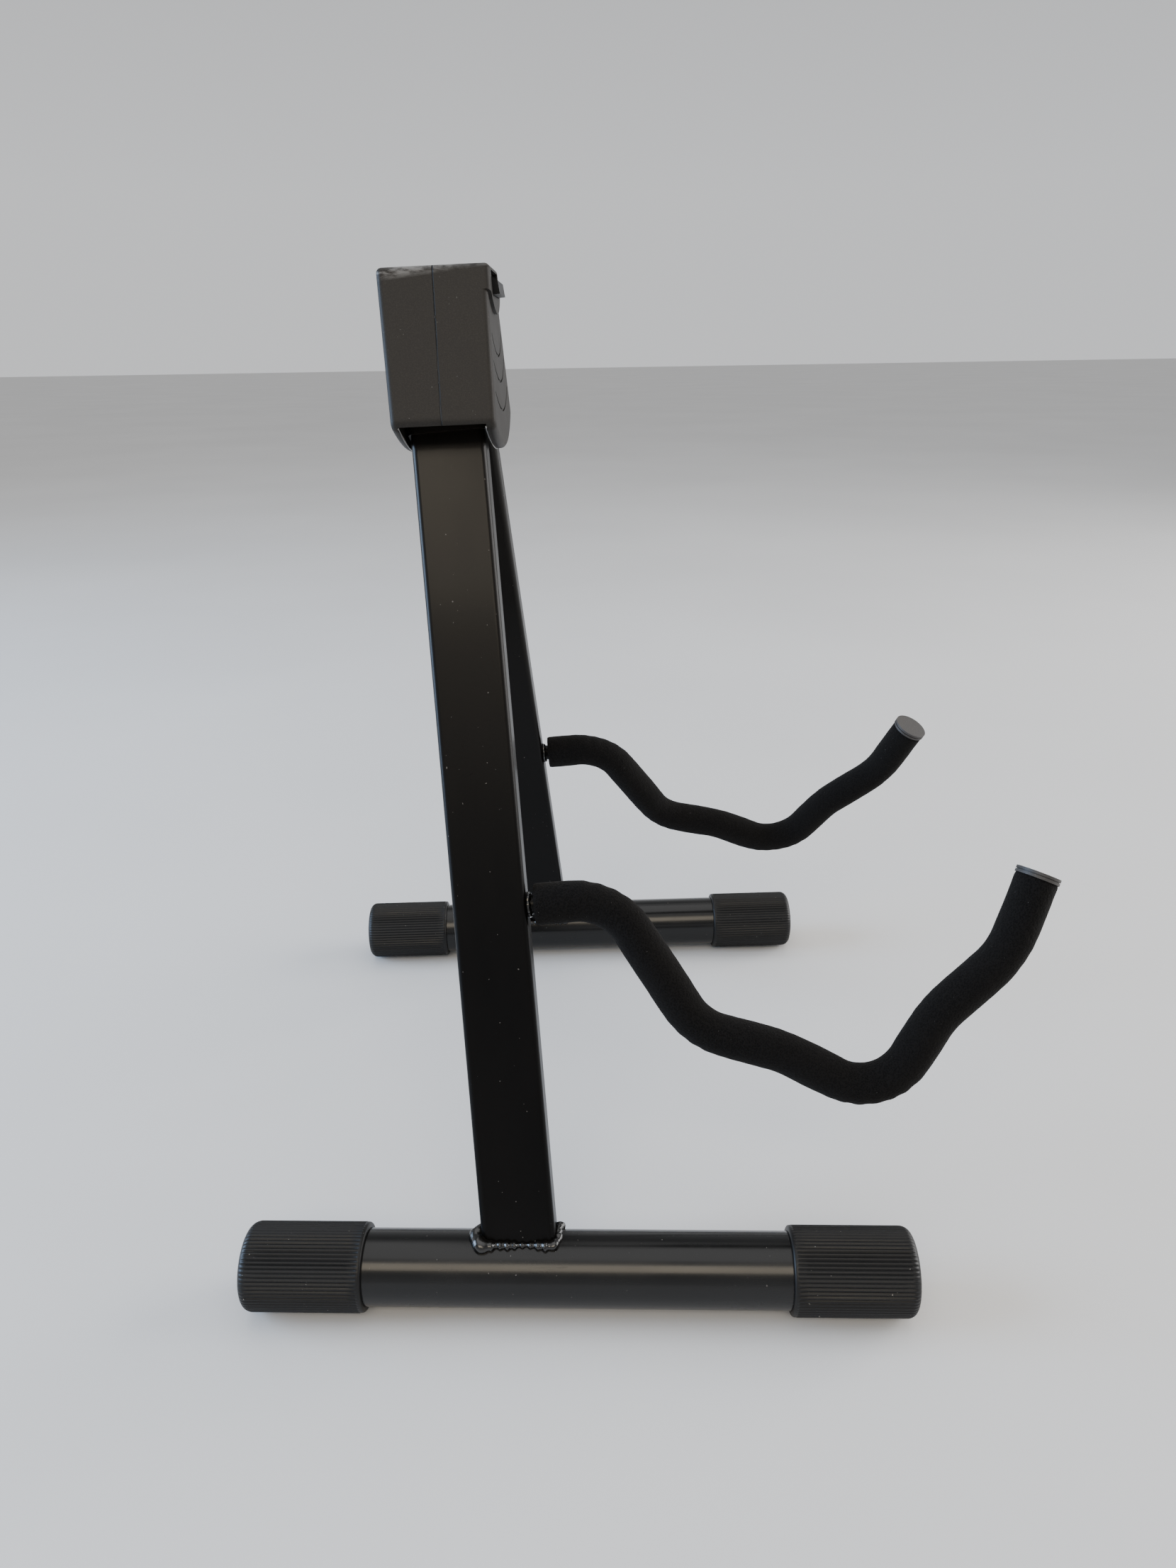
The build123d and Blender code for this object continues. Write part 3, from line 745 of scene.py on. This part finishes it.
def make_floor():
    """A wide pale floor, kept level with the lower foot, which goes down as its leg folds."""
    bm = bmesh.new()
    bmesh.ops.create_grid(bm, x_segments=24, y_segments=24, size=floor_half)
    bmesh.ops.translate(bm, verts=bm.verts, vec=(0, 0, -axle_height))
    mesh = bpy.data.meshes.new("floor")
    bm.to_mesh(mesh)
    bm.free()
    mesh.materials.append(floor_paint())
    floor = bpy.data.objects.new("floor", mesh)
    floor.location.z = axle_height
    bpy.context.scene.collection.objects.link(floor)
    with_left = floor.constraints.new("COPY_LOCATION")
    with_left.target = foot_marker(-1, "left")
    with_left.use_x = with_left.use_y = False
    under_right = floor.constraints.new("FLOOR")
    under_right.target = foot_marker(1, "right")
    under_right.floor_location = "FLOOR_NEGATIVE_Z"


def area_light(name, place, target, size, watts, colour):
    """A soft rectangular light that faces its target."""
    data = bpy.data.lights.new(name, "AREA")
    data.shape = "RECTANGLE"
    data.size, data.size_y = size
    data.energy = watts
    data.color = colour
    ahead = (Vector(target) - Vector(place)).normalized()
    right = ahead.cross(Vector((0, 0, 1))).normalized()
    aimed(name, data, Vector(place), right, right.cross(ahead), ahead)


def make_lights():
    """Two windows, the room, the ceiling, a wide even sky for the far floor, and a pale room around."""
    for light in area_lights:
        area_light(*light)
    data = bpy.data.lights.new("even_sky", "SUN")
    data.energy, data.angle = 0.9, math.radians(80)
    aimed("even_sky", data, Vector((0, 0, 3)), Vector((1, 0, 0)), Vector((0, 1, 0)), Vector((0, 0, -1)))
    world = bpy.data.worlds.new("pale_room")
    world.use_nodes = True
    tree = world.node_tree
    shade = tree.nodes["Background"]
    shade.inputs["Color"].default_value = (*sky_colour, 1)
    direction = tree.nodes.new("ShaderNodeTexCoord")
    parts = tree.nodes.new("ShaderNodeSeparateXYZ")
    fade = tree.nodes.new("ShaderNodeMapRange")
    for key, number in (("From Min", 0.12), ("From Max", 0.85), ("To Min", sky_low), ("To Max", sky_high)):
        fade.inputs[key].default_value = number
    tree.links.new(direction.outputs["Generated"], parts.inputs["Vector"])
    tree.links.new(parts.outputs["Z"], fade.inputs["Value"])
    tree.links.new(fade.outputs["Result"], shade.inputs["Strength"])
    bpy.context.scene.world = world


make_camera()
make_floor()
make_lights()

for name in ("front_shell", "back_shell"):
    dress(name, head_material)
dress("latch", latch_material)
for name in ("shell_screws", "left_pivot_pin", "right_pivot_pin"):
    dress(name, zinc_material)
latch_coil()
seam_flash()
lobe_rim_highlight(rim_inward - lobe_front, lobe_front_corner, "front_lobe_rim_highlight")
lobe_rim_highlight(lobe_back - rim_inward, lobe_back_corner, "back_lobe_rim_highlight")
for name, side in (("left", -1), ("right", 1)):
    dress(name + "_leg_tube", paint_material)
    dress(name + "_foot_tube", tube_material)
    dress(name + "_arm_rod", paint_material)
    dress(name + "_pivot_bush", zinc_material)
    dress(name + "_pivot_collar", collar_painted_light_material)
    dress(name + "_arm_end_cap", disc_material)
    foam_sleeve(side, name)
    foot_cap(side, name, 1)
    foot_cap(side, name, -1)
    foot_weld(side, name)
    arm_weld(side, name)
